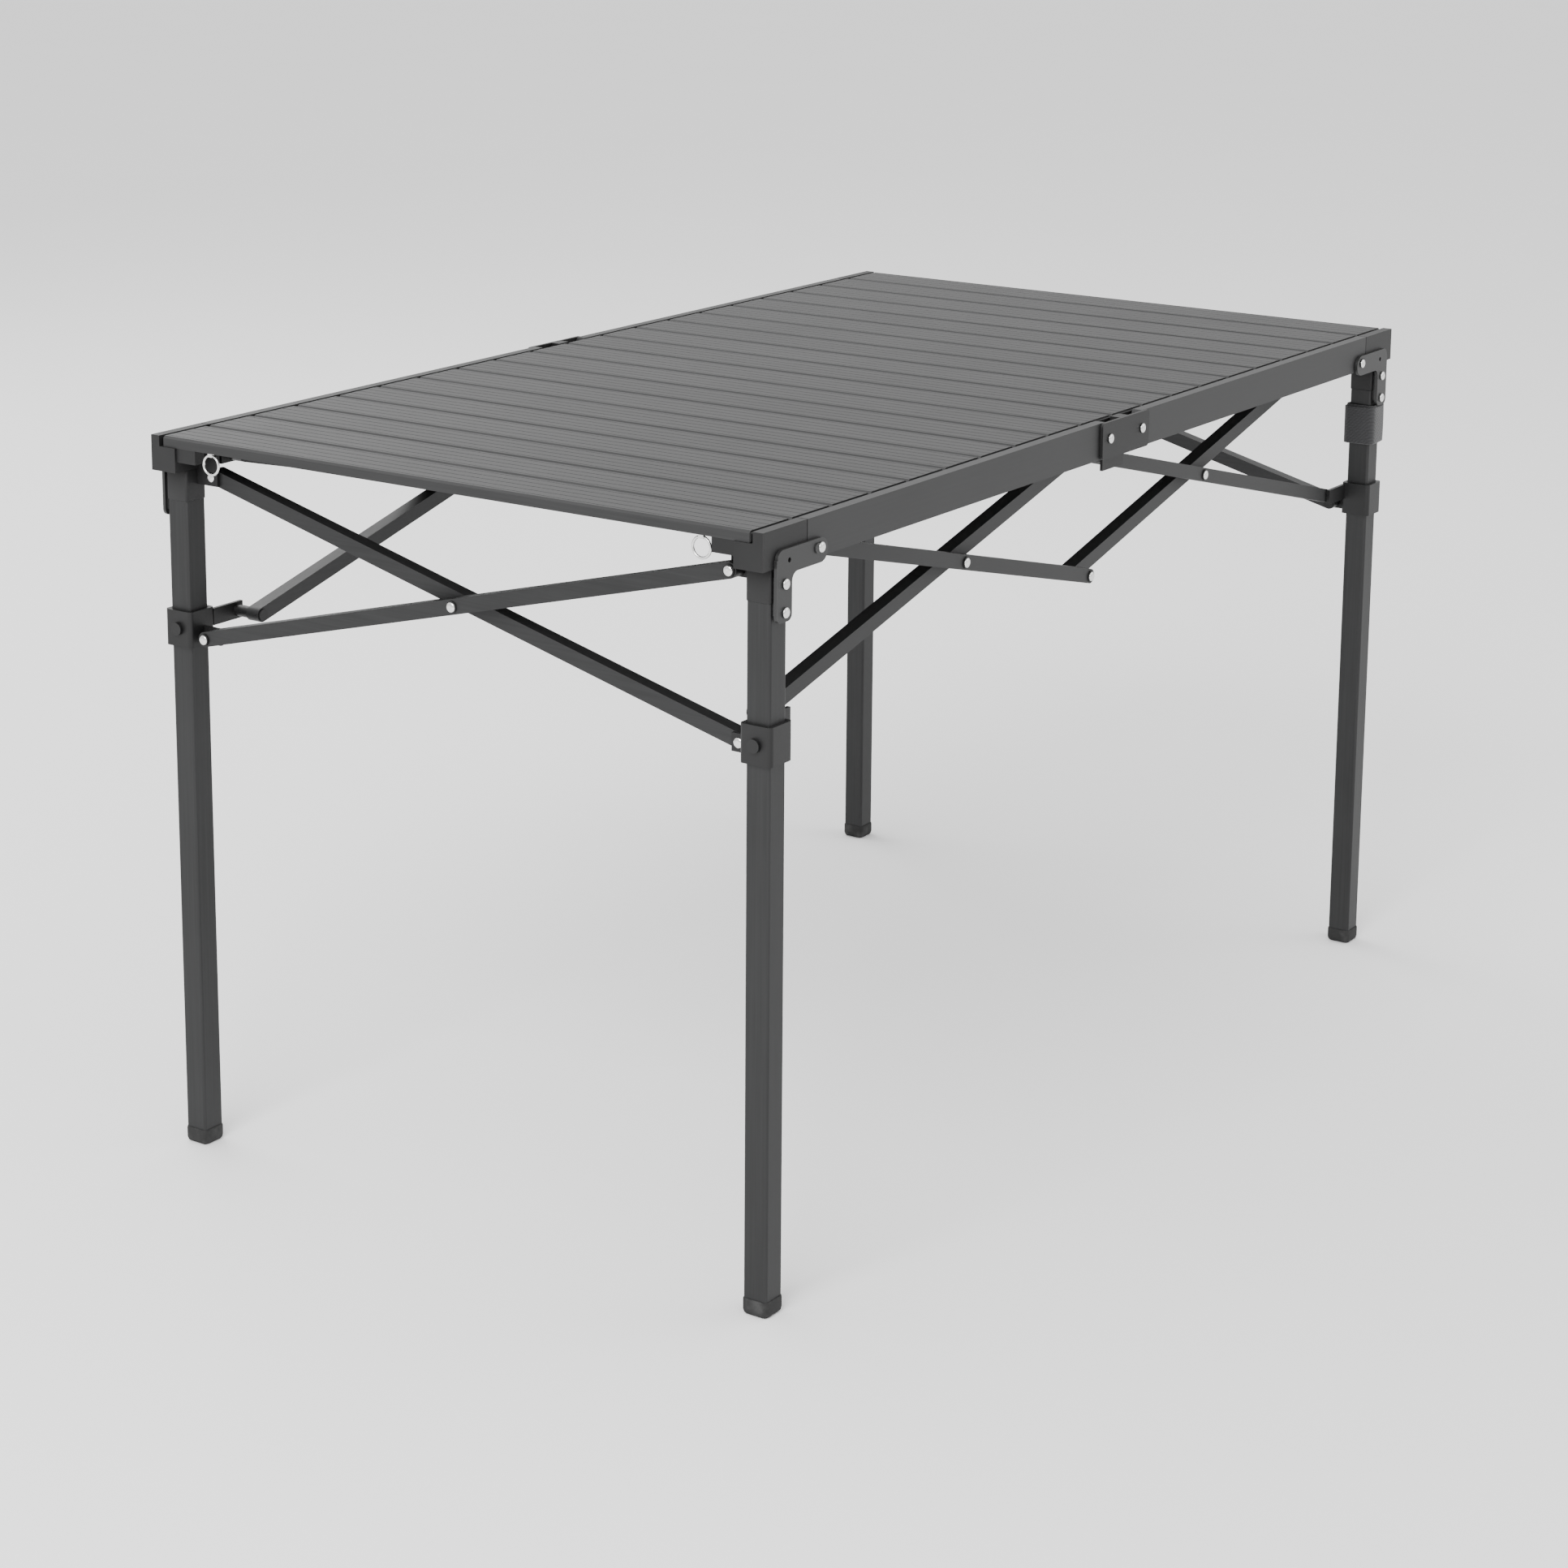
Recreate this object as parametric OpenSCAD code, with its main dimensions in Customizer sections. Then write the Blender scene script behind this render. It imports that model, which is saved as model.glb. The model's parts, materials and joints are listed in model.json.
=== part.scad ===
// Folding picnic table: a lift-off slatted top on a scissor frame with four sliding collars.
// Units are millimetres. The origin is on the floor under the middle of the table.
// X runs along the table, Y across it, Z up. "Front" is Y-, "left" is X-.

/* [Overall] */
// Length of the table top
top_l = 1200; // [1000:10:1400]
// Width over the side rails
top_w = 676; // [600:4:760]
// Height of the table top above the floor
top_h = 690; // [640:5:760]

/* [Top] */
// Number of slats
slat_n = 20; // [16:1:20]
// Gap between two slats
slat_gap = 3; // [1:0.5:4]
// Width of the sloped shoulder along a slat's top edges
slat_edge = 2; // [1:0.2:3]
// Thickness of a slat
slat_t = 10; // [8:0.5:12]
// Wall of a slat's hollow section
slat_wall = 1.1; // [0.8:0.1:2]
// Gap between a slat's end and the rail's lip
slat_end_gap = 4; // [3:0.5:8]

/* [Rails] */
// Thickness of a side rail
rail_t = 10; // [8:0.5:12]
// Height of a side rail
rail_h = 35; // [32:1:40]
// Wall of a side rail's hollow section
rail_wall = 1.5; // [1:0.1:2.5]

/* [Legs] */
// Width of a square leg tube
leg_w = 24; // [20:0.5:27]
// Wall of a leg tube
leg_wall = 1.5; // [1:0.1:2.5]
// Leg centre's distance in from the end of the top
leg_in = 28; // [26:0.5:34]
// Height of a rubber foot
foot_h = 10; // [6:1:16]

/* [Scissor bars] */
// Thickness of a bar across its face
bar_w = 14; // [12:0.5:16]
// Thickness of a bar through its layer
bar_t = 14; // [12:0.5:15]
// Height between the upper and the lower pivots of a scissor
pivot_drop = 150; // [130:5:170]
// Radius of a pivot pin
pin_r = 3; // [2:0.25:4]
// Radius of a rivet head
head_r = 5.5; // [5:0.25:7]

/* [Hidden] */
$fn = 48;
eps = 0.01;
fit = 0.05;                     // running clearance of a bored pivot
gap = 0.3;                      // side clearance between neighbouring layers
layer_gap = 3;                  // lug plate or washer between two bar layers
plate_t = 3;                    // bracket and saddle plates
head_t = 1.2;                   // rivet head thickness

half_l = top_l / 2;
half_w = top_w / 2;
leg_x = half_l - leg_in;
leg_face_y = half_w - 3;        // outer face of the legs, behind the brackets
leg_y = leg_face_y - leg_w / 2;
lug_y1 = leg_y - leg_w / 2;     // inner face of the legs
lug_y0 = lug_y1 - 3.7;
lug_x0 = leg_x - 5;
lug_x1 = lug_x0 + layer_gap;

slat_pitch = top_l / slat_n;
slat_w = slat_pitch - slat_gap;
slat_z = top_h - slat_t;
lip_y = half_w - rail_t;
slat_l = 2 * (lip_y - slat_end_gap);
rail_z = top_h - rail_h;

end_y = leg_y - 29;             // pivots of the end scissors
side_x = leg_x - 47;            // pivots of the side scissors and of the rails
side_z = top_h - 26;
end_z = top_h - 40;
cross_x = side_x - end_y;       // crossing of the two bars of one side scissor
slope = pivot_drop / (2 * end_y);
mid_low_z = side_z - side_x * slope;
mid_high_z = side_z - pivot_drop + side_x * slope;
collar_low_z = end_z - pivot_drop;
collar_side_z = side_z - pivot_drop;

out_y1 = lug_y0 - gap;          // outer layer of the side scissors
out_y0 = out_y1 - bar_t;
in_y1 = out_y0 - layer_gap;     // inner layer of the side scissors
in_y0 = in_y1 - bar_t;
out_x0 = lug_x1 + gap / 2;      // outer layer of the end scissors
out_x1 = out_x0 + bar_t;
in_x1 = lug_x0 - gap / 2;       // inner layer of the end scissors
in_x0 = in_x1 - bar_t;

collar_w = leg_w + 8;
collar_z0 = collar_low_z - 10;
collar_z1 = collar_side_z + 10;
button_z = (collar_z0 + collar_z1) / 2;
button_r = 6;
plate_y0 = half_w + gap;
plate_y1 = plate_y0 + plate_t;
seam_x = side_x + 10;           // seam between a rail and its corner block

corners = ["fl", "fr", "bl", "br"];
slats = [for (i = [1:slat_n]) str("slat_", i < 10 ? "0" : "", i)];

function is_left(c) = c[1] == "l";
function is_front(c) = c[0] == "f";

// Moves a shape made for the back right quarter to the named corner.
module at_corner(c) {
    mirror([is_left(c) ? 1 : 0, 0, 0])
        mirror([0, is_front(c) ? 1 : 0, 0])
            children();
}

// Extrudes an outline in the X-Z plane between two Y values.
module along_y(y0, y1) {
    translate([0, y1, 0]) rotate([90, 0, 0]) linear_extrude(y1 - y0) children();
}

// Extrudes an outline in the Y-Z plane between two X values.
module along_x(x0, x1) {
    translate([x0, 0, 0]) rotate([90, 0, 90]) linear_extrude(x1 - x0) children();
}

module box(x, y, z) {
    translate([x[0], y[0], z[0]]) cube([x[1] - x[0], y[1] - y[0], z[1] - z[0]]);
}

module round_square(w, r) {
    square([w - 2 * r, w], center = true);
    square([w, w - 2 * r], center = true);
    for (i = [-1, 1], j = [-1, 1])
        translate([i * (w / 2 - r), j * (w / 2 - r)]) circle(r);
}

function bar_angle(p, q) = atan2(q[1] - p[1], q[0] - p[0]);

module bar_outline(p, q) {
    len = norm(q - p);
    translate(p) rotate(bar_angle(p, q)) {
        circle(d = bar_w);
        translate([len, 0]) circle(d = bar_w);
        translate([0, -bar_w / 2]) square([len, bar_w]);
    }
}

// Hollow of a bar's tube between two of its pivots.
module bar_hollow(p, q, bar_wall = 1.4, boss = 9) {
    translate(p) rotate(bar_angle(p, q))
        translate([boss, bar_wall - bar_w / 2])
            square([norm(q - p) - 2 * boss, bar_w - 2 * bar_wall]);
}

module bores(points) {
    for (p = points) translate(p) circle(pin_r + fit);
}

// A bar of a side scissor with its hollows and bores.
module side_bar(p, c, q, y0, holes) {
    difference() {
        along_y(y0, y0 + bar_t) bar_outline(p, q);
        along_y(y0 + 1.4, y0 + bar_t - 1.4) {
            bar_hollow(p, c);
            bar_hollow(c, q);
        }
        along_y(y0 - 1, y0 + bar_t + 1) bores(holes);
    }
}

// A pin along Y whose headed end points inwards.
module pin_y(p, y_head, y_root) {
    along_y(y_head - gap, y_root) translate(p) circle(pin_r);
    along_y(y_head - gap - head_t, y_head - gap) translate(p) circle(head_r);
}

module side_pivot(p, outer) {
    if (outer) {
        pin_y(p, out_y0, lug_y0 + 1);
    } else {
        pin_y(p, in_y0, lug_y0 + 1);
        along_y(in_y1 + gap, lug_y0 + 1) translate(p) circle(pin_r + 2.5);
    }
}

module end_pivot(p, outer) {
    if (outer) {
        along_x(lug_x0 + 1, out_x1 + gap) translate(p) circle(pin_r);
        along_x(out_x1 + gap, out_x1 + gap + head_t) translate(p) circle(head_r);
    } else {
        along_x(in_x0 - gap, lug_x1 - 1) translate(p) circle(pin_r);
        along_x(in_x0 - gap - head_t, in_x0 - gap) translate(p) circle(head_r);
    }
}

// One hollow slat with fine lines along its top.
module slat(i) {
    edge = slat_edge;
    x_mid = (i - (slat_n - 1) / 2) * slat_pitch;
    h = slat_w / 2;
    color([0.33, 0.34, 0.35]) translate([x_mid, 0, slat_z]) difference() {
        along_y(-slat_l / 2, slat_l / 2)
            polygon([[-h, 0], [h, 0], [h, slat_t - edge], [h - edge, slat_t],
                     [edge - h, slat_t], [-h, slat_t - edge]]);
        along_y(3 - slat_l / 2, slat_l / 2 - 3)
            translate([-h + 2.2, slat_wall])
                square([2 * h - 4.4, slat_t - 2 * slat_wall - 0.4]);
        for (k = [-2:2]) along_y(-slat_l / 2 - 1, slat_l / 2 + 1)
            translate([k * slat_w / 5 - 0.4, slat_t - 0.4]) square([0.8, 1]);
    }
}

module leg(c) {
    color([0.3, 0.31, 0.32]) at_corner(c) translate([leg_x, leg_y, 0]) {
        translate([0, 0, foot_h]) difference() {
            linear_extrude(rail_z + 2 - foot_h) round_square(leg_w, 2.5);
            translate([0, 0, 2]) linear_extrude(rail_z) square(leg_w - 2 * leg_wall, center = true);
        }
        translate([0, 0, foot_h - 6]) linear_extrude(6 + eps) round_square(leg_w + 1, 3);
        rotate_extrude() polygon([[0, 0], [8, 0], [10.5, 1.5], [11, foot_h - 5], [0, foot_h - 5]]);
    }
}

// Plastic corner block with its shelf, lip, inboard arm and the upper pivots.
module corner(c) {
    color([0.12, 0.12, 0.13]) at_corner(c) {
        difference() {
            box([seam_x + 1, half_l], [lug_y1 - 2, half_w], [rail_z + 2, slat_z]);
            box([seam_x + 4, leg_x - leg_w / 2 - 3], [lug_y1 + 1, half_w - 3], [rail_z, slat_z - 3]);
        }
        box([seam_x + 1, half_l], [lip_y, half_w], [slat_z - 1, top_h]);
        box([half_l - 14, half_l - 2], [end_y - 8, lug_y1], [slat_z - 13, slat_z]);
        box([lug_x0, lug_x1], [end_y - 8, lug_y1], [end_z - 8, slat_z]);
        box([side_x - 8, seam_x + 6], [lug_y0, lug_y1], [side_z - 8, side_z + 10]);
        side_pivot([side_x, side_z], is_left(c));
        end_pivot([end_y, end_z], is_front(c));
    }
}

module rivet_head_y(x, z) {
    along_y(plate_y1 - eps, plate_y1 + head_t) translate([x, z]) circle(head_r - 1);
}

// L-shaped steel bracket on the outside of a corner, with the rail's pivot pin.
module bracket(c) {
    leg_x0 = leg_x - leg_w / 2 + 2;
    leg_x1 = leg_x + leg_w / 2;
    arm_z0 = rail_z - 4;
    arm_z1 = rail_z + 17;
    leg_z0 = rail_z - 44;
    color([0.25, 0.26, 0.27]) at_corner(c) {
        difference() {
            along_y(plate_y0, plate_y1) {
                translate([side_x - 5, arm_z0]) square([leg_x1 - side_x - 3, arm_z1 - arm_z0]);
                translate([side_x - 5, (arm_z0 + arm_z1) / 2]) circle((arm_z1 - arm_z0) / 2);
                translate([leg_x1 - 9, arm_z1 - 8]) circle(8);
                translate([leg_x1 - 9, arm_z0]) square([9, arm_z1 - arm_z0 - 8]);
                translate([leg_x0, leg_z0 + 6]) square([leg_x1 - leg_x0, arm_z0 - leg_z0]);
                translate([leg_x0 + 6, leg_z0]) square([leg_x1 - leg_x0 - 12, 12]);
                for (x = [leg_x0 + 6, leg_x1 - 6]) translate([x, leg_z0 + 6]) circle(6);
                translate([leg_x0 - 8, arm_z0 - 8]) difference() {
                    square(8.1);
                    circle(8);
                }
            }
            along_y(plate_y0 - 1, plate_y1 + 1) translate([leg_x - 6, rail_z + 7]) circle(2.2);
        }
        box([leg_x0 + 2, leg_x1 - 3], [leg_face_y, plate_y0 + 1], [leg_z0 + 6, rail_z - 6]);
        along_y(lip_y + 1, plate_y1) translate([side_x, side_z]) circle(pin_r);
        rivet_head_y(side_x, side_z);
        rivet_head_y(leg_x, leg_z0 + 32);
        rivet_head_y(leg_x, leg_z0 + 8);
    }
}

// Collar that slides on a leg and holds the lower ends of two bars.
module collar(c) {
    color([0.1, 0.1, 0.11]) at_corner(c) {
        difference() {
            translate([leg_x, leg_y, collar_z0])
                linear_extrude(collar_z1 - collar_z0) round_square(collar_w, 4);
            translate([leg_x, leg_y, collar_z0 - 1])
                linear_extrude(collar_z1 - collar_z0 + 2) square(leg_w + 0.4, center = true);
            along_x(leg_x, leg_x + collar_w)
                translate([leg_y, button_z]) circle(button_r + fit);
        }
        box([lug_x0, lug_x1], [end_y - 7, leg_y - collar_w / 2 + 1], [collar_low_z - 8, collar_low_z + 8]);
        box([side_x - 7, leg_x - collar_w / 2 + 1], [lug_y0, lug_y1], [collar_side_z - 8, collar_side_z + 8]);
        side_pivot([side_x, collar_side_z], !is_left(c));
        end_pivot([end_y, collar_low_z], !is_front(c));
    }
}

// Press button in the outer face of a collar.
module button(c) {
    x0 = leg_x + leg_w / 2 + 3.5;
    color([0.08, 0.08, 0.08]) at_corner(c)
        along_x(x0, x0 + 3.8) translate([leg_y, button_z]) circle(button_r);
}

// Half of a side rail: hollow wall with a lip, a ledge for the slats and its pivot bore.
module rail(c) {
    color([0.32, 0.33, 0.34]) at_corner(c) difference() {
        union() {
            along_y(lip_y, half_w) {
                polygon([[18, rail_z], [side_x, rail_z], [side_x, side_z], [seam_x, side_z],
                         [seam_x, top_h], [36, top_h]]);
                translate([side_x, side_z]) circle(side_z - rail_z);
            }
            box([47, side_x], [lip_y - 10, lip_y + 1], [slat_z - 3, slat_z]);
        }
        box([60, side_x - 20], [lip_y + rail_wall, half_w - rail_wall],
            [rail_z + rail_wall, top_h - rail_wall]);
        along_y(lip_y - 1, half_w + 1) translate([side_x, side_z]) circle(pin_r + fit);
    }
}

// Bars of the end scissors: the outer one drops from a front leg, the inner one from a back leg.
module end_bar(c) {
    outer = is_front(c);
    x0 = outer ? out_x0 : in_x0;
    // Outlines are drawn in the Y-Z plane; a front bar starts at Y-.
    s = outer ? -1 : 1;
    p = [s * end_y, end_z];
    q = [-s * end_y, collar_low_z];
    m = [0, (end_z + collar_low_z) / 2];
    color([0.3, 0.31, 0.32]) mirror([is_left(c) ? 1 : 0, 0, 0]) {
        difference() {
            along_x(x0, x0 + bar_t) bar_outline(p, q);
            along_x(x0 + 1.4, x0 + bar_t - 1.4) {
                bar_hollow(p, m);
                bar_hollow(m, q);
            }
            along_x(x0 - 1, x0 + bar_t + 1) bores(outer ? [p, q] : [p, m, q]);
        }
        if (outer) {
            along_x(in_x0 - gap, out_x0 + 1) translate(m) circle(pin_r);
            along_x(in_x0 - gap - head_t, in_x0 - gap) translate(m) circle(head_r);
            along_x(in_x1 + gap, out_x0 + eps) translate(m) circle(head_r);
            along_x(out_x1 - eps, out_x1 + head_t) translate(m) circle(head_r);
        }
    }
}

// Bars of a side scissor, drawn on the back side and mirrored for the front.
// a and b start on the left legs, c and d on the right ones.
module side_bar_set(bar, side) {
    left = bar == "a" || bar == "b";
    outer = bar == "b" || bar == "d";
    upper = bar == "b" || bar == "c";
    s = left ? -1 : 1;
    p = [s * side_x, upper ? side_z : collar_side_z];
    m = [s * cross_x, side_z - pivot_drop / 2];
    q = [0, upper ? mid_low_z : mid_high_z];
    y0 = outer ? out_y0 : in_y0;
    held = outer ? (bar == "b" ? [p] : [p, q]) : [p, m, q];
    color([0.3, 0.31, 0.32]) mirror([0, side == "f" ? 1 : 0, 0]) {
        side_bar(p, m, q, y0, held);
        if (outer) {
            pin_y(m, in_y0, out_y0 + 1);
            along_y(in_y1 + gap, out_y0 + eps) translate(m) circle(head_r);
            along_y(out_y1 - eps, out_y1 + head_t) translate(m) circle(head_r);
        }
        if (bar == "b") {
            pin_y(q, in_y0, out_y0 + 1);
            along_y(in_y1 + gap, out_y0 + eps) translate(q) circle(head_r);
            along_y(out_y1 - eps, out_y1 + head_t) translate(q) circle(head_r);
        }
    }
}

// Centre saddle that joins the two half rails and carries the upper middle pivot.
module saddle(side) {
    h = 45;
    color([0.13, 0.13, 0.14]) mirror([0, side == "f" ? 1 : 0, 0]) {
        along_y(plate_y0, plate_y1) {
            translate([4 - h, rail_z]) square([2 * h - 8, rail_h]);
            translate([-h, rail_z + 4]) square([2 * h, rail_h - 8]);
            for (x = [4 - h, h - 4], z = [rail_z + 4, top_h - 4]) translate([x, z]) circle(4);
        }
        box([-8, 8], [lip_y, plate_y0 + 1], [rail_z, top_h]);
        box([-20, 20], [lip_y - 3, lip_y - gap], [mid_high_z - 9, slat_z - 0.5]);
        box([-8, 8], [lip_y - 2, lip_y + 1], [rail_z, slat_z - 0.5]);
        pin_y([0, mid_high_z], in_y0, lip_y - 2);
        along_y(out_y1 + gap, lip_y - 2) translate([0, mid_high_z]) circle(pin_r + 3);
        for (x = [-31, 31]) rivet_head_y(x, side_z + 10);
    }
}

// Closed strap loop around the front right leg.
module strap() {
    strap_z0 = rail_z - 82;
    color([0.06, 0.06, 0.06]) at_corner("fr") difference() {
        translate([leg_x, leg_y, strap_z0]) linear_extrude(34) round_square(leg_w + 8, 5);
        translate([leg_x, leg_y, strap_z0 - 1]) linear_extrude(36) round_square(leg_w + 2, 2.6);
    }
}

// Two split rings under the left slat.
module rings() {
    ring_r = 9;
    wire_r = 1.2;
    color([0.8, 0.8, 0.8]) for (s = [-1, 1]) translate([8 - half_l, s * (end_y - 22), 0]) {
        translate([0, 0, slat_z - ring_r - 3]) rotate([0, 90, 0])
            rotate_extrude() translate([ring_r, 0]) circle(wire_r);
        translate([-1.5, -2.5, slat_z - 4.6]) cube([3, 5, 4.6]);
    }
}

for (i = [0:slat_n - 1]) slat(i);
for (c = corners) leg(c);
for (c = corners) corner(c);
for (c = corners) bracket(c);
for (c = corners) collar(c);
for (c = corners) button(c);
for (c = corners) rail(c);
for (c = corners) end_bar(c);
for (b = ["a", "b", "c", "d"], s = ["f", "b"])
    side_bar_set(b, s);
saddle("f");  // saddle_f
saddle("b");  // saddle_b
strap();
rings();
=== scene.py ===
"""Finishes and small parts of a folding picnic table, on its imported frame."""
import json
import math

import bmesh
import bpy
from bpy.props import FloatProperty, FloatVectorProperty, PointerProperty
from bpy.types import Operator, Panel, PropertyGroup
from mathutils import Matrix, Vector


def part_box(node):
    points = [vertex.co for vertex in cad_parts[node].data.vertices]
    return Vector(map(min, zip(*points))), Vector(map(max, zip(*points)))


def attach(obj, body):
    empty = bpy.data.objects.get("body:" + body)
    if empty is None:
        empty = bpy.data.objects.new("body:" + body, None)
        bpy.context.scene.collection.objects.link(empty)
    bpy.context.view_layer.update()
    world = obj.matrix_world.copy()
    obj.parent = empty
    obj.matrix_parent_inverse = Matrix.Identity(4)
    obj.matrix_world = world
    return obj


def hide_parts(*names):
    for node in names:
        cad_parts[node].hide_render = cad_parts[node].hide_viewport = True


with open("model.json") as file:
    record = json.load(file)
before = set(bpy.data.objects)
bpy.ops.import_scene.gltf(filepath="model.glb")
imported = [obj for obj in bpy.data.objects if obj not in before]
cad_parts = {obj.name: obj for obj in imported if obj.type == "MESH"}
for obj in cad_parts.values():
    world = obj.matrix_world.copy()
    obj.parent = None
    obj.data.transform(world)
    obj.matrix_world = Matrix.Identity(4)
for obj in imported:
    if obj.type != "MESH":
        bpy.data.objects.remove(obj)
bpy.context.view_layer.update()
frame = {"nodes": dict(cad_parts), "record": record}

bl_info = {
    "name": "Folding picnic table",
    "version": (1, 0, 0),
    "blender": (4, 5, 0),
    "location": "View3D > Sidebar > Picnic table",
    "description": "Finishes, rivets, feet, strap and stage of a folding picnic table",
    "category": "Object",
}

MM = 0.001
CORNERS = ("fl", "fr", "bl", "br")
SIDES = ("f", "b")


def middle(node):
    """Middle of a CAD node's box."""
    low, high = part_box(node)
    return (Vector(low) + Vector(high)) / 2


def side_sign(name):
    """-1 for a front or left piece, 1 for a back or right one."""
    return (-1 if name[1] == "l" else 1), (-1 if name[0] == "f" else 1)


# ---------------------------------------------------------------- settings

def colour(name, text, value):
    return FloatVectorProperty(name=name, description=text, subtype="COLOR", size=3,
                               min=0, max=1, default=value)


def length(name, text, value):
    return FloatProperty(name=name, description=text, unit="LENGTH", min=0, default=value)


class TableFinish(PropertyGroup):
    """Colours of the table's materials."""
    slat: colour("Slats", "Brushed anodised slats", (0.036, 0.0362, 0.0366))
    rail: colour("Rails", "Satin anodised side rails", (0.036, 0.0362, 0.0366))
    tube: colour("Tubes", "Legs and scissor bars", (0.029, 0.0292, 0.0296))
    steel: colour("Brackets", "Dark painted brackets", (0.021, 0.0212, 0.0214))
    plastic: colour("Plastic", "Moulded corner blocks and collars", (0.007, 0.007, 0.0072))
    bright: colour("Rivets", "Bright steel rivets and rings", (0.74, 0.74, 0.73))
    webbing: colour("Webbing", "Woven strap", (0.010, 0.010, 0.011))


class TableSizes(PropertyGroup):
    """Sizes of the pieces added to the frame."""
    edge: length("Edge", "Radius on the frame's edges", 0.5 * MM)
    rivet_r: length("Rivet radius", "Radius of a domed rivet head", 4.6 * MM)
    rivet_h: length("Rivet height", "Height of a domed rivet head", 1.9 * MM)
    foot_w: length("Foot width", "Width of a rubber foot", 26.4 * MM)
    foot_h: length("Foot height", "Height of a rubber foot", 15 * MM)
    strap_w: length("Strap width", "Width of the webbing", 40 * MM)
    strap_t: length("Strap thickness", "Thickness of the webbing", 1.3 * MM)
    # Width of the near-black strip that paints the shade in the gaps between slats
    strip_t: length("Hinge strip", "Width of the strip between two slats", 1.7 * MM)


# ---------------------------------------------------------------- shader maths

class Value:
    """A node socket that adds Math nodes when it is used in an expression."""

    def __init__(self, shader, socket):
        self.shader = shader
        self.socket = socket

    def _math(self, operation, a, b):
        return self.shader.node("ShaderNodeMath", {"operation": operation}, {0: a, 1: b})

    def __add__(self, other):
        return self._math("ADD", self, other)

    def __sub__(self, other):
        return self._math("SUBTRACT", self, other)

    def __rsub__(self, other):
        return self._math("SUBTRACT", other, self)

    def __mul__(self, other):
        return self._math("MULTIPLY", self, other)

    __radd__ = __add__
    __rmul__ = __mul__


class Finish:
    """One material, built from expressions on its sockets."""

    def __init__(self, name):
        self.material = bpy.data.materials.new(name)
        self.material.use_nodes = True
        self.tree = self.material.node_tree
        self.shader = self.tree.nodes["Principled BSDF"]

    def node(self, kind, settings=None, inputs=None, output=0):
        """Adds a node, sets it, feeds its sockets and gives one output."""
        made = self.tree.nodes.new(kind)
        for key, value in (settings or {}).items():
            setattr(made, key, value)
        for key, value in (inputs or {}).items():
            self.feed(made.inputs[key], value)
        return Value(self, made.outputs[output])

    def feed(self, socket, value):
        if isinstance(value, Value):
            self.tree.links.new(value.socket, socket)
        else:
            socket.default_value = value

    def set(self, **values):
        """Sets the shader's sockets; an underscore stands for a space."""
        for key, value in values.items():
            self.feed(self.shader.inputs[key.replace("_", " ")], value)

    def place(self, stretch=(1, 1, 1)):
        """Object coordinates, stretched along each axis."""
        coordinates = self.node("ShaderNodeTexCoord", output="Object")
        return self.node("ShaderNodeMapping", {}, {"Vector": coordinates, "Scale": stretch})

    def noise(self, scale, stretch=(1, 1, 1), detail=4.0):
        return self.node("ShaderNodeTexNoise", {},
                         {"Vector": self.place(stretch), "Scale": scale, "Detail": detail},
                         "Fac")

    def wave(self, scale, axis, distortion=0.0):
        return self.node("ShaderNodeTexWave", {"bands_direction": axis},
                         {"Vector": self.place(), "Scale": scale, "Distortion": distortion},
                         "Fac")

    def blend(self, factor, a, b):
        """Mixes two colours."""
        return self.node("ShaderNodeMix", {"data_type": "RGBA"}, {0: factor, 6: a, 7: b}, 2)

    def stops(self, value, low, high):
        """Maps low..high to 0..1."""
        return self.node("ShaderNodeMapRange", {},
                         {"Value": value, "From Min": low, "From Max": high})

    def worn_edge(self, radius):
        """1 on sharp edges, 0 on flat faces."""
        normal = self.node("ShaderNodeNewGeometry", output="Normal")
        soft = self.node("ShaderNodeBevel", {"samples": 6}, {"Radius": radius})
        same = self.node("ShaderNodeVectorMath", {"operation": "DOT_PRODUCT"},
                         {0: normal, 1: soft}, "Value")
        return self.stops(1 - same, 0.02, 0.25)

    def bump(self, height, strength, distance):
        self.set(Normal=self.node("ShaderNodeBump", {},
                                  {"Height": height, "Strength": strength,
                                   "Distance": distance}))


def rgba(values, gain=1.0):
    return (*[min(1.0, v * gain) for v in values], 1.0)


def brushed_metal(name, base, stretch, rough=0.42):
    """Anodised aluminium, brushed along the axis that stretch keeps short."""
    m = Finish(name)
    lines = m.noise(420, stretch, 6)
    cloud = m.noise(9, (1, 1, 1), 3)
    shade = m.stops(lines * 0.6 + cloud * 0.4, 0.3, 0.7)
    body = m.blend(shade, rgba(base, 0.82), rgba(base, 1.2))
    m.set(Base_Color=m.blend(m.worn_edge(0.0012) * 0.3, body, rgba(base, 1.9)),
          Roughness=m.stops(lines, -1.2, 2.2) * 0.5 + (rough - 0.2) + cloud * 0.1, Metallic=0.75)
    m.bump(lines, 0.12, 0.0002)
    return m.material


def painted_metal(name, base, rough=0.46, metallic=0.35):
    """Satin coat with a fine orange peel and rubbed edges."""
    m = Finish(name)
    peel = m.noise(900, detail=2)
    cloud = m.noise(7, detail=4)
    body = m.blend(m.stops(cloud, 0.3, 0.7), rgba(base, 0.85), rgba(base, 1.15))
    m.set(Base_Color=m.blend(m.worn_edge(0.001) * 0.4, body, rgba(base, 3.0)),
          Roughness=cloud * 0.16 + (rough - 0.08), Metallic=metallic)
    m.bump(peel, 0.15, 0.00015)
    return m.material


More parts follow.
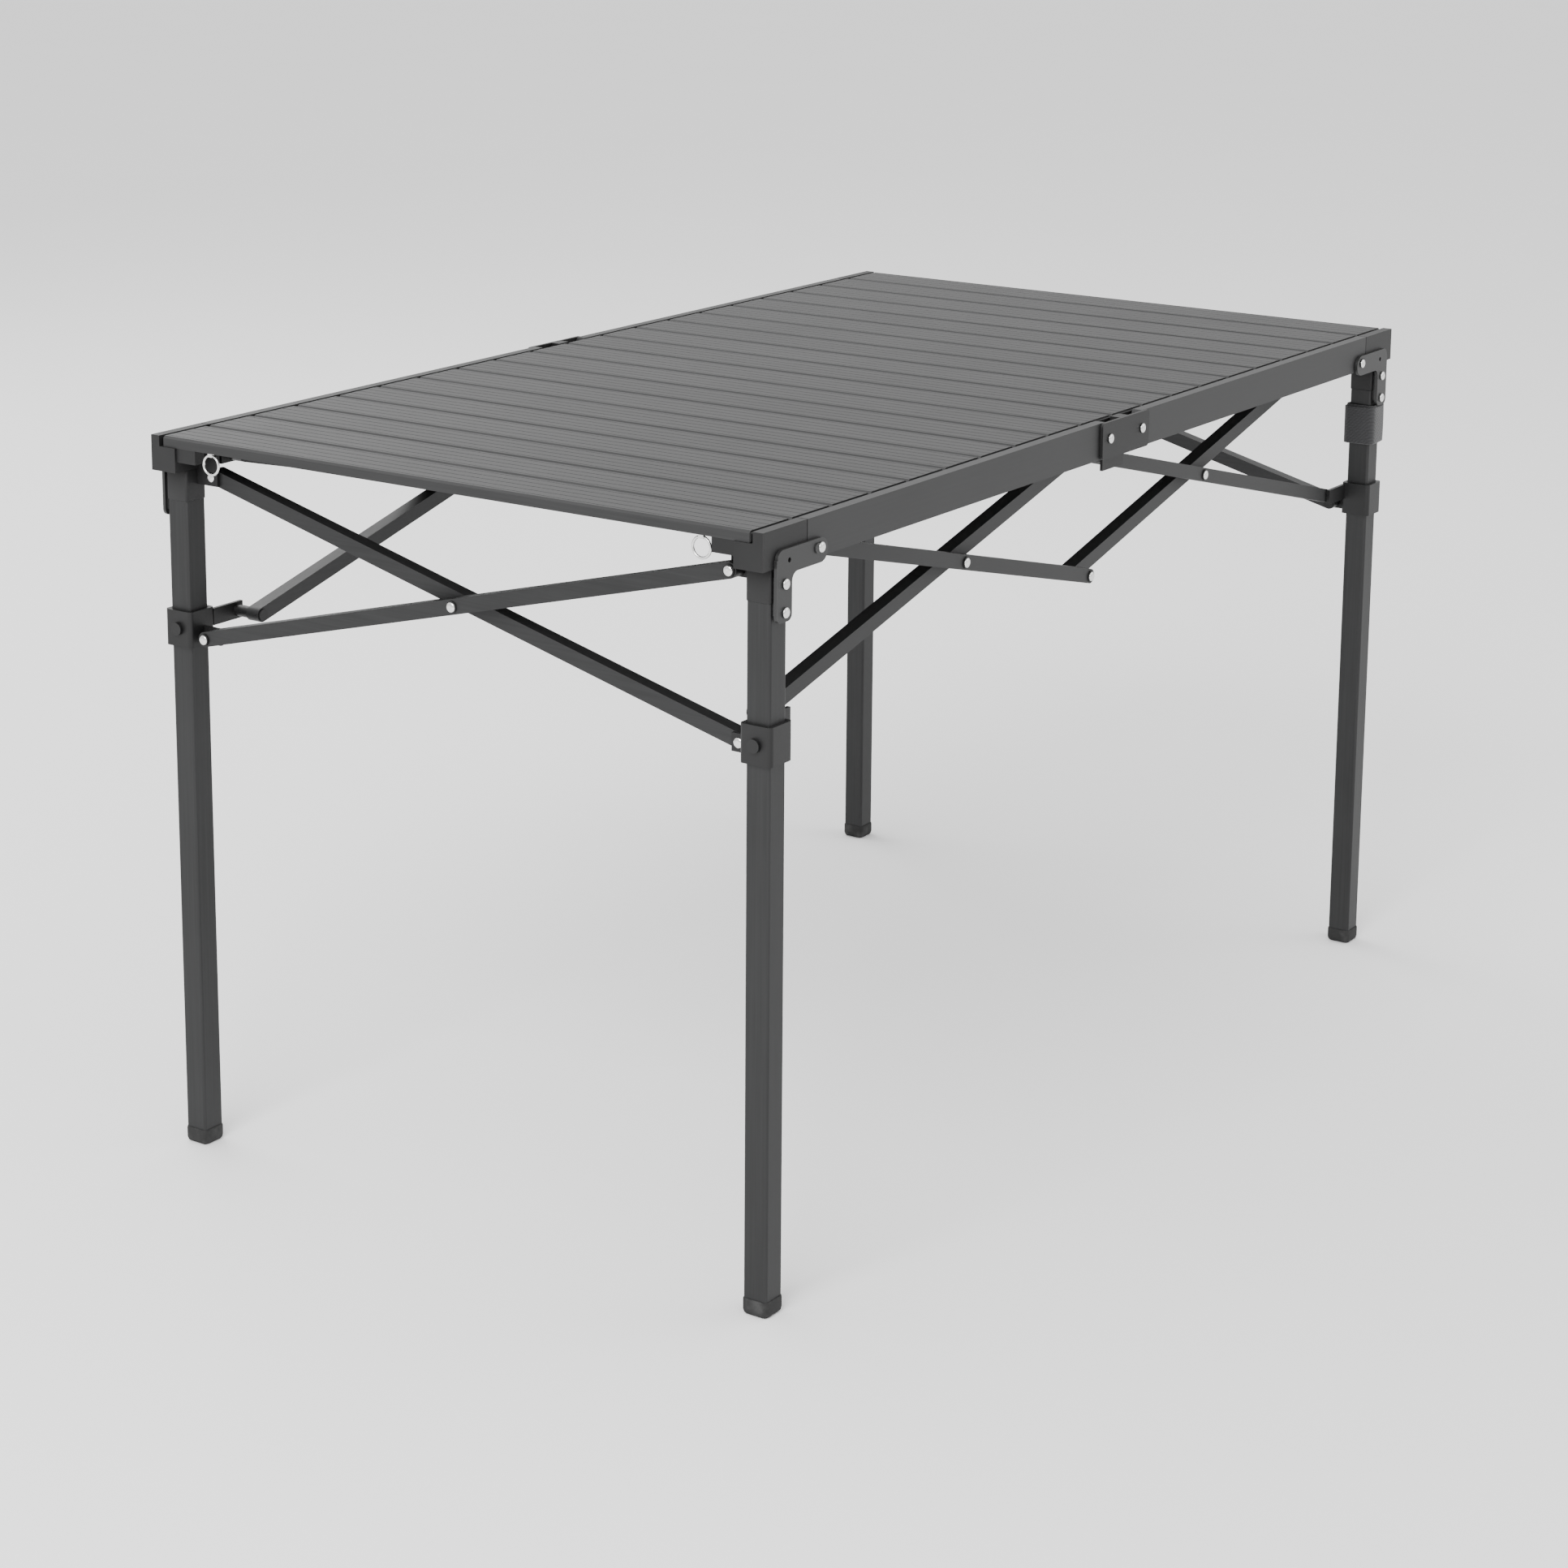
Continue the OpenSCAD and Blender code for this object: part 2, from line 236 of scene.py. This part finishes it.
def moulded_plastic(name, base, rough=0.5, grain=1500):
    """Spark-eroded black plastic."""
    m = Finish(name)
    pits = m.noise(grain, detail=3)
    cloud = m.noise(14, detail=3)
    m.set(Base_Color=m.blend(m.stops(cloud, 0.3, 0.7), rgba(base, 0.8), rgba(base, 1.5)),
          Roughness=pits * 0.16 + cloud * 0.1 + (rough - 0.13), Metallic=0.0,
          Specular_IOR_Level=0.28)
    m.bump(pits, 0.3, 0.0002)
    return m.material


def bright_steel(name, base):
    """Polished plated steel with a faint haze."""
    m = Finish(name)
    haze = m.noise(160, detail=4)
    m.set(Base_Color=m.blend(haze, rgba(base, 0.86), rgba(base, 1.05)),
          Roughness=haze * 0.16 + 0.14, Metallic=1.0)
    m.bump(haze, 0.05, 0.0001)
    return m.material


def woven_webbing(name, base):
    """Black webbing: ribs across and picks along, with fuzz."""
    m = Finish(name)
    ribs = m.wave(180, "Z")
    picks = m.wave(150, "DIAGONAL")
    weave = ribs * 0.6 + picks * 0.4
    fuzz = m.noise(700, detail=5)
    tone = m.stops(weave * 0.7 + fuzz * 0.3, 0.2, 0.9)
    m.set(Base_Color=m.blend(tone, rgba(base, 0.6), rgba(base, 2.4)),
          Roughness=0.75 + fuzz * 0.2, Metallic=0.0, Sheen_Weight=0.25)
    m.bump(weave + fuzz * 0.3, 0.6, 0.0005)
    return m.material


def soft_rubber(name, base):
    """Dusty black rubber."""
    m = Finish(name)
    dust = m.noise(60, detail=6)
    m.set(Base_Color=m.blend(m.stops(dust, 0.5, 0.75), rgba(base, 1.2), rgba(base, 3.4)),
          Roughness=0.66 + dust * 0.22, Metallic=0.0, Specular_IOR_Level=0.25)
    m.bump(dust, 0.15, 0.0003)
    return m.material


# ---------------------------------------------------------------- mesh helpers

def add_mesh(name, build, body, material, smooth=True):
    """Makes an object from a bmesh builder and lets it ride on a body."""
    mesh = bpy.data.meshes.new(name)
    shape = bmesh.new()
    build(shape)
    bmesh.ops.recalc_face_normals(shape, faces=shape.faces)
    shape.to_mesh(mesh)
    shape.free()
    piece = bpy.data.objects.new(name, mesh)
    bpy.context.scene.collection.objects.link(piece)
    mesh.materials.append(material)
    for face in mesh.polygons:
        face.use_smooth = smooth
    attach(piece, body)
    return piece


def lathe(shape, at, axis, profile, steps=28):
    """Turns a profile of (radius, height) about an axis that starts at a point."""
    turn = Vector((0, 0, 1)).rotation_difference(Vector(axis)).to_matrix()
    rings = []
    for radius, height in profile:
        ring = []
        for k in range(steps):
            angle = 2 * math.pi * k / steps
            point = Vector((radius * math.cos(angle), radius * math.sin(angle), height))
            ring.append(shape.verts.new(Vector(at) + turn @ point))
        rings.append(ring)
    for low, high in zip(rings, rings[1:]):
        for k in range(steps):
            shape.faces.new((low[k], low[(k + 1) % steps], high[(k + 1) % steps], high[k]))
    shape.faces.new(rings[0])
    shape.faces.new(rings[-1])


def rivet_profile(radius, height):
    """Domed head with a small collar and a dimple in the middle."""
    rim = [(radius * 0.96, -height * 0.1), (radius, height * 0.12), (radius, height * 0.3)]
    dome = [(radius * math.cos(t), height * (0.3 + 0.7 * math.sin(t)))
            for t in [math.radians(a) for a in (20, 40, 55, 68)]]
    return rim + dome + [(radius * 0.2, height * 0.93), (radius * 0.08, height * 0.9)]


def rounded_outline(width, radius, steps=6):
    """Points round a square with rounded corners."""
    half = width / 2 - radius
    points = []
    for quarter, (sx, sy) in enumerate(((1, 1), (-1, 1), (-1, -1), (1, -1))):
        for k in range(steps + 1):
            angle = math.pi / 2 * (quarter + k / steps)
            points.append((sx * half + radius * math.cos(angle),
                           sy * half + radius * math.sin(angle)))
    return points


def loft(shape, rings, closed_ends=True):
    """Skins a list of equal rings of points."""
    made = [[shape.verts.new(p) for p in ring] for ring in rings]
    count = len(made[0])
    for low, high in zip(made, made[1:]):
        for k in range(count):
            shape.faces.new((low[k], low[(k + 1) % count], high[(k + 1) % count], high[k]))
    if closed_ends:
        shape.faces.new(made[0])
        shape.faces.new(made[-1])


def soften(piece, width, segments=2):
    """Rounds the edges of a piece with a modifier."""
    bevel = piece.modifiers.new("Edges", "BEVEL")
    bevel.width = width
    bevel.segments = segments
    bevel.limit_method = "ANGLE"
    bevel.angle_limit = math.radians(35)
    bevel.harden_normals = False


def dress(names, material, edge):
    """Gives CAD nodes their finish and their edge radius."""
    for name in names:
        node = frame["nodes"][name]
        node.data.materials.clear()
        node.data.materials.append(material)
        soften(node, edge)


def body_of_node(node):
    """Name of the body that a CAD node belongs to."""
    bodies = frame["record"]["behaviour"]["bodies"]
    return next(body for body, nodes in bodies.items() if node in nodes)


def nodes_like(*starts):
    return [n for n in frame["nodes"] if n.startswith(starts)]


class TableOperator:
    bl_options = {"REGISTER", "UNDO"}


# ---------------------------------------------------------------- finishes

class TABLE_OT_slats(TableOperator, Operator):
    """Brushed anodised finish on the slats"""
    bl_idname = "table.slats"
    bl_label = "Finish the slats"

    def execute(self, context):
        finish = context.scene.table_finish
        for k, name in enumerate(sorted(nodes_like("slat_"))):
            shade = 1 + 0.05 * math.sin(2.4 * k)
            base = [shade * c for c in finish.slat]
            dress([name], brushed_metal(f"slat_metal_{k + 1:02d}", base, (1, 0.02, 1)),
                  context.scene.table_sizes.edge)
        return {"FINISHED"}


class TABLE_OT_frame_metal(TableOperator, Operator):
    """Finish on the rails, legs, bars and brackets"""
    bl_idname = "table.frame_metal"
    bl_label = "Finish the frame"

    def execute(self, context):
        finish = context.scene.table_finish
        edge = context.scene.table_sizes.edge
        rail = brushed_metal("rail_metal", finish.rail, (0.02, 1, 1), 0.4)
        leg = brushed_metal("leg_metal", finish.tube, (1, 1, 0.02), 0.4)
        side = brushed_metal("side_bar_metal", finish.tube, (0.03, 1, 1), 0.38)
        end = brushed_metal("end_bar_metal", finish.tube, (1, 0.03, 1), 0.38)
        dress(nodes_like("rail_"), rail, edge)
        dress(nodes_like("leg_"), leg, edge)
        dress(nodes_like("side_bar_"), side, 3 * edge)
        dress(nodes_like("end_bar_"), end, 3 * edge)
        dress(nodes_like("bracket_"), painted_metal("bracket_paint", finish.steel), edge)
        return {"FINISHED"}


class TABLE_OT_plastic(TableOperator, Operator):
    """Moulded finish on the corner blocks, collars, saddles and buttons"""
    bl_idname = "table.plastic"
    bl_label = "Finish the plastic"

    def execute(self, context):
        finish = context.scene.table_finish
        edge = context.scene.table_sizes.edge
        block = moulded_plastic("block_plastic", finish.plastic)
        collar = moulded_plastic("collar_plastic", finish.plastic, 0.45, 1200)
        dress(nodes_like("corner_", "saddle_"), block, edge)
        dress(nodes_like("collar_"), collar, edge)
        dress(nodes_like("button_"), moulded_plastic("button_plastic", finish.plastic, 0.3), edge)
        return {"FINISHED"}


class TABLE_OT_rings(TableOperator, Operator):
    """Bright finish on the split rings"""
    bl_idname = "table.rings"
    bl_label = "Finish the rings"

    def execute(self, context):
        dress(["rings"], bright_steel("ring_steel", context.scene.table_finish.bright), 0.0001)
        return {"FINISHED"}


# ---------------------------------------------------------------- added pieces

class TABLE_OT_rivets(TableOperator, Operator):
    """Domed rivet heads on brackets, saddles, bars, corners and collars"""
    bl_idname = "table.rivets"
    bl_label = "Add the rivets"

    def execute(self, context):
        sizes = context.scene.table_sizes
        steel = bright_steel("rivet_steel", context.scene.table_finish.bright)
        profile = rivet_profile(sizes.rivet_r, sizes.rivet_h)

        def rivets(name, body, spots):
            def build(shape):
                for at, axis in spots:
                    lathe(shape, at, axis, profile)
            add_mesh(name, build, body, steel)

        for c in CORNERS:
            sx, sy = side_sign(c)
            low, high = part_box(f"bracket_{c}")
            face = sy * max(abs(low[1]), abs(high[1])) - sy * 0.3 * MM
            leg = middle(f"leg_{c}")
            rail_x = sx * (min(abs(low[0]), abs(high[0])) + 10.5 * MM)
            rail_z = high[2] - 8 * MM
            spots = [((rail_x, face, rail_z), (0, sy, 0)),
                     ((leg.x, face, low[2] + 32 * MM), (0, sy, 0)),
                     ((leg.x, face, low[2] + 8 * MM), (0, sy, 0))]
            rivets(f"bracket_rivets_{c}", f"leg_{c}", spots)
        for s in SIDES:
            sy = -1 if s == "f" else 1
            low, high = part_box(f"saddle_{s}")
            face = sy * max(abs(low[1]), abs(high[1])) - sy * 0.3 * MM
            spots = [((x, face, high[2] - 16 * MM), (0, sy, 0)) for x in (-0.031, 0.031)]
            rivets(f"saddle_rivets_{s}", f"saddle_{s}", spots)
            for b in "bd":
                low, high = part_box(f"side_bar_{b}_{s}")
                face = sy * max(abs(low[1]), abs(high[1])) - sy * 0.3 * MM
                x = 0.231 * (-1 if b == "b" else 1)
                spots = [((x, face, 0.589), (0, sy, 0))]
                if b == "b":
                    spots.append(((0, face, low[2] + 7 * MM), (0, sy, 0)))
                rivets(f"side_bar_rivets_{b}_{s}", f"side_bar_{b}_{s}", spots)
        for c in ("fl", "fr"):
            sx = side_sign(c)[0]
            low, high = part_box(f"end_bar_{c}")
            face = sx * max(abs(low[0]), abs(high[0])) - sx * 0.3 * MM
            at = (face, 0, middle(f"end_bar_{c}").z)
            rivets(f"end_bar_rivet_{c}", f"end_bar_{c}", [(at, (sx, 0, 0))])
        for c in CORNERS:
            sx, sy = side_sign(c)
            top_z, low_z = 0.650, 0.500
            outer_face, lug_face = sx * 0.5855, sx * 0.570
            upper = outer_face if c[0] == "f" else lug_face
            lower = lug_face if c[0] == "f" else outer_face
            rivets(f"corner_rivet_{c}", f"leg_{c}",
                   [((upper, sy * 0.294, top_z), (sx, 0, 0))])
            rivets(f"collar_rivet_{c}", f"collar_{c}",
                   [((lower, sy * 0.294, low_z), (sx, 0, 0))])
        return {"FINISHED"}


class TABLE_OT_gap_shade_strips(TableOperator, Operator):
    """Near-black strips in the gaps between the slats, painted shade for the dark gap lines"""
    bl_idname = "table.hinge_strips"
    bl_label = "Add the hinge strips"

    def execute(self, context):
        width = context.scene.table_sizes.strip_t / 2
        # Near-black material for the gap strips: painted shade that darkens the gaps between the slats
        rubber = soft_rubber("gap_shade_black", (0.008, 0.008, 0.008))
        names = sorted(nodes_like("slat_"))

        def strip(left, right):
            low_corner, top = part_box(right)
            x = (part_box(left)[1][0] + low_corner[0]) / 2

            def build(shape):
                # The strip sits below the slat tops so the gap reads dark, as painted shade
                low, high = low_corner[2] + 1 * MM, top[2] - 5.5 * MM
                crown = high + 0.6 * MM
                section = [(x - width, low), (x + width, low), (x + width, high),
                           (x, crown), (x - width, high)]
                ends = (low_corner[1] + 2 * MM, top[1] - 2 * MM)
                loft(shape, [[(px, y, pz) for px, pz in section] for y in ends])

            add_mesh(f"gap_shade_strip_{left[-2:]}", build, body_of_node(left), rubber,
                     smooth=False)

        for left, right in zip(names, names[1:]):
            strip(left, right)
        return {"FINISHED"}


class TABLE_OT_slat_caps(TableOperator, Operator):
    """Black end caps in the slats' open ends"""
    bl_idname = "table.slat_caps"
    bl_label = "Add the slat end caps"

    def execute(self, context):
        plastic = moulded_plastic("cap_plastic", context.scene.table_finish.plastic)

        def caps(name):
            low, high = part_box(name)

            def build(shape):
                for sy, face in ((-1, low[1]), (1, high[1])):
                    rings = []
                    for inset, out in ((0.3, -0.5), (0.3, 0.5), (1.1, 1.3)):
                        x0, x1 = low[0] + inset * MM, high[0] - inset * MM
                        z0, z1 = low[2] + inset * MM, high[2] - (inset + 1.2) * MM
                        y = face + sy * out * MM
                        rings.append([(x0, y, z0), (x1, y, z0), (x1, y, z1), (x0, y, z1)])
                    loft(shape, rings)

            add_mesh(f"slat_caps_{name[-2:]}", build, body_of_node(name), plastic,
                     smooth=False)

        for name in nodes_like("slat_"):
            caps(name)
        return {"FINISHED"}


class TABLE_OT_feet(TableOperator, Operator):
    """Rounded rubber feet over the ends of the legs"""
    bl_idname = "table.feet"
    bl_label = "Add the feet"

    def execute(self, context):
        sizes = context.scene.table_sizes
        rubber = soft_rubber("foot_rubber", (0.014, 0.014, 0.014))
        profile = ((0.70, 0.0), (0.86, 0.03), (0.95, 0.12), (1.0, 0.3), (1.0, 0.86),
                   (0.985, 0.97), (0.95, 1.0))
        for c in CORNERS:
            leg = middle(f"leg_{c}")

            def build(shape):
                outline = rounded_outline(sizes.foot_w, 4.5 * MM)
                loft(shape, [[(leg.x + x * k, leg.y + y * k, z * sizes.foot_h)
                              for x, y in outline] for k, z in profile])

            add_mesh(f"foot_{c}", build, f"leg_{c}", rubber)
        return {"FINISHED"}


class TABLE_OT_leg_sleeves(TableOperator, Operator):
    """Plastic sleeves on the legs under the corner blocks"""
    bl_idname = "table.leg_sleeves"
    bl_label = "Add the leg sleeves"

    def execute(self, context):
        plastic = moulded_plastic("sleeve_plastic", context.scene.table_finish.plastic)
        for c in CORNERS:
            leg = middle(f"leg_{c}")
            low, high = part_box(f"leg_{c}")

            def build(shape):
                rings = []
                for width, drop in ((24.2, 30.0), (25.2, 29.2), (25.2, 0.8), (24.6, 0.2)):
                    outline = rounded_outline(width * MM, 2.6 * MM)
                    rings.append([(leg.x + x, leg.y + y, high[2] - drop * MM)
                                  for x, y in outline])
                loft(shape, rings)

            add_mesh(f"leg_sleeve_{c}", build, f"leg_{c}", plastic)
        return {"FINISHED"}


class TABLE_OT_strap(TableOperator, Operator):
    """Webbing strap wound loosely round one leg"""
    bl_idname = "table.strap"
    bl_label = "Add the strap"

    def execute(self, context):
        sizes = context.scene.table_sizes
        webbing = woven_webbing("strap_webbing", context.scene.table_finish.webbing)
        at = middle("strap")
        turns, steps = 2, 44
        centre = []
        for k in range(turns * steps + 1):
            t = k / steps
            angle = 2 * math.pi * t
            reach = 1 / max(abs(math.cos(angle)), abs(math.sin(angle)), 0.78)
            loose = 0.6 * math.sin(3 * angle + 0.7) + 0.5 * math.sin(angle - 0.6)
            radius = (14.2 + 1.7 * t + 0.5 * loose) * MM * min(reach, 1.25)
            drop = (1.2 * math.sin(angle * 0.5 + 0.4)) * MM
            centre.append(Vector((at.x + radius * math.cos(angle),
                                  at.y + radius * math.sin(angle), at.z + drop)))
        rows = (-1.0, -0.94, -0.6, -0.2, 0.2, 0.6, 0.94, 1.0)

        def build(shape):
            grid = []
            for k, point in enumerate(centre):
                curl = 0.35 * MM * math.sin(k * 0.21)
                out = Vector((point.x - at.x, point.y - at.y, 0)).normalized()
                grid.append([shape.verts.new(point + out * curl * v * v
                                             + Vector((0, 0, v * sizes.strap_w / 2)))
                             for v in rows])
            for a, b in zip(grid, grid[1:]):
                for k in range(len(rows) - 1):
                    shape.faces.new((a[k], a[k + 1], b[k + 1], b[k]))

        strap = add_mesh("strap_webbing", build, "leg_fr", webbing)
        thick = strap.modifiers.new("Thickness", "SOLIDIFY")
        thick.thickness = 0.9 * MM
        thick.offset = 0
        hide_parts("strap")
        return {"FINISHED"}


# ---------------------------------------------------------------- stage

class TABLE_OT_stage(TableOperator, Operator):
    """Pale floor, soft studio light and the camera"""
    bl_idname = "table.stage"
    bl_label = "Set the stage"

    def execute(self, context):
        scene = context.scene
        floor_finish = Finish("floor_paper")
        grain = floor_finish.noise(2.0)
        floor_finish.set(Base_Color=floor_finish.blend(grain, (0.86, 0.86, 0.86, 1), (0.88, 0.88, 0.88, 1)),
                         Roughness=0.9)
        mesh = bpy.data.meshes.new("floor")
        reach = 30.0
        mesh.from_pydata([(-reach, -reach, 0), (reach, -reach, 0), (reach, reach, 0),
                          (-reach, reach, 0)], [], [(0, 1, 2, 3)])
        mesh.materials.append(floor_finish.material)
        floor = bpy.data.objects.new("floor", mesh)
        scene.collection.objects.link(floor)

        world = bpy.data.worlds.new("studio")
        world.use_nodes = True
        world.node_tree.nodes["Background"].inputs["Color"].default_value = (1, 1, 1, 1)
        world.node_tree.nodes["Background"].inputs["Strength"].default_value = 1.45
        scene.world = world
        for name, place, size, power in (
                ("key", (-3.8, -0.8, 3.2), 2.4, 240),
                ("fill", (2.4, -3.4, 2.2), 2.6, 40),
                ("back", (0.8, 3.4, 3.2), 3.0, 110)):
            light = bpy.data.lights.new(name, "AREA")
            light.size = size
            light.energy = power
            lamp = bpy.data.objects.new(name, light)
            lamp.location = place
            aim = Vector((0, 0, 0.45)) - Vector(place)
            lamp.rotation_euler = aim.to_track_quat("-Z", "Y").to_euler()
            scene.collection.objects.link(lamp)

        yaw, pitch, roll = 0.5954, 0.2118, 0.0072
        ahead = Vector((math.cos(pitch) * math.cos(yaw), math.cos(pitch) * math.sin(yaw),
                        -math.sin(pitch)))
        level = ahead.cross(Vector((0, 0, 1))).normalized()
        above = level.cross(ahead)
        right = level * math.cos(roll) + above * math.sin(roll)
        up = above * math.cos(roll) - level * math.sin(roll)
        eye = Vector((-2.8568, -1.8869, 1.3306))
        lens = bpy.data.cameras.new("camera")
        lens.sensor_width = 36
        lens.lens = 80.26
        lens.shift_y = -0.2
        lens.clip_end = 100
        camera = bpy.data.objects.new("camera", lens)
        turn = Matrix((right, up, -ahead)).transposed().to_4x4()
        camera.matrix_world = Matrix.Translation(eye) @ turn
        scene.collection.objects.link(camera)
        scene.camera = camera
        return {"FINISHED"}


STEPS = (TABLE_OT_stage, TABLE_OT_slats, TABLE_OT_frame_metal, TABLE_OT_plastic, TABLE_OT_rings,
         TABLE_OT_rivets, TABLE_OT_gap_shade_strips, TABLE_OT_slat_caps, TABLE_OT_feet,
         TABLE_OT_leg_sleeves, TABLE_OT_strap)


class TABLE_PT_panel(Panel):
    """Lists the table's steps and settings"""
    bl_idname = "TABLE_PT_panel"
    bl_label = "Picnic table"
    bl_space_type = "VIEW_3D"
    bl_region_type = "UI"
    bl_category = "Picnic table"

    def draw(self, context):
        for group in (context.scene.table_finish, context.scene.table_sizes):
            for key in group.__annotations__:
                self.layout.prop(group, key)
        for step in STEPS:
            self.layout.operator(step.bl_idname)


CLASSES = (TableFinish, TableSizes, *STEPS, TABLE_PT_panel)


def register():
    for cls in CLASSES:
        bpy.utils.register_class(cls)
    bpy.types.Scene.table_finish = PointerProperty(type=TableFinish)
    bpy.types.Scene.table_sizes = PointerProperty(type=TableSizes)


def unregister():
    del bpy.types.Scene.table_sizes
    del bpy.types.Scene.table_finish
    for cls in reversed(CLASSES):
        bpy.utils.unregister_class(cls)


def main():
    register()
    for step in STEPS:
        group, name = step.bl_idname.split(".")
        getattr(getattr(bpy.ops, group), name)()


if __name__ == "__main__":
    main()
